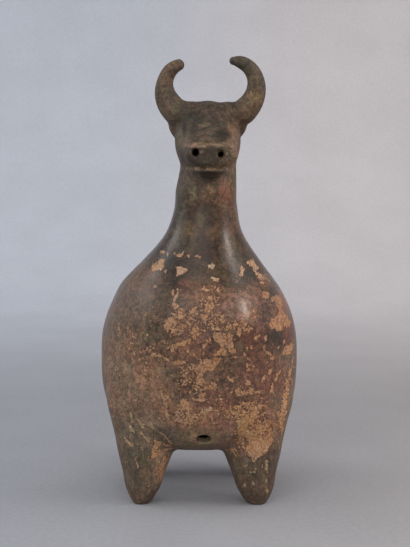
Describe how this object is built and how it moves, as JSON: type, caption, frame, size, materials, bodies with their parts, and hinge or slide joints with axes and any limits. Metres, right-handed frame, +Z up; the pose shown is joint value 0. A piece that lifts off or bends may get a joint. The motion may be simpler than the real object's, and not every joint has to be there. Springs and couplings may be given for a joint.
{
  "type": "bull-shaped pouring vessel",
  "caption": "Hollow fired-clay pouring vessel in the shape of a standing bull, with a tall neck, crescent horns, a filling collar in the back and an outlet hole in the chest.",
  "frame": {"origin": "on the ground, under the middle of the vessel", "axes": "+Z up; the bull faces -Y; +X is the right-hand side of someone who looks at its face"},
  "size_m": [0.1364, 0.1566, 0.2997],
  "materials": {
    "body_slip": "burnished brown slip, flaked away in tan and orange patches",
    "neck_slip": "dark burnished slip with ochre spots",
    "head_slip": "dark greyish slip, rubbed",
    "muzzle_slip": "dark brown slip",
    "horn_slip": "grey-brown slip, rubbed to tan along the inner side",
    "leg_slip": "dark olive-brown slip with upright streaks",
    "collar_slip": "brown slip, worn at the lip"
  },
  "bodies": {
    "root": {"belly_shell": "body_slip", "shoulder_shell": "body_slip", "neck_tube": "neck_slip", "head_shell": "head_slip", "muzzle": "muzzle_slip", "horn_left": "horn_slip", "horn_right": "horn_slip", "ear_left": "head_slip", "ear_right": "head_slip", "foreleg_left": "leg_slip", "foreleg_right": "leg_slip", "hindleg_left": "leg_slip", "hindleg_right": "leg_slip", "filler_collar": "collar_slip", "tail": "body_slip"}
  },
  "joints": []
}
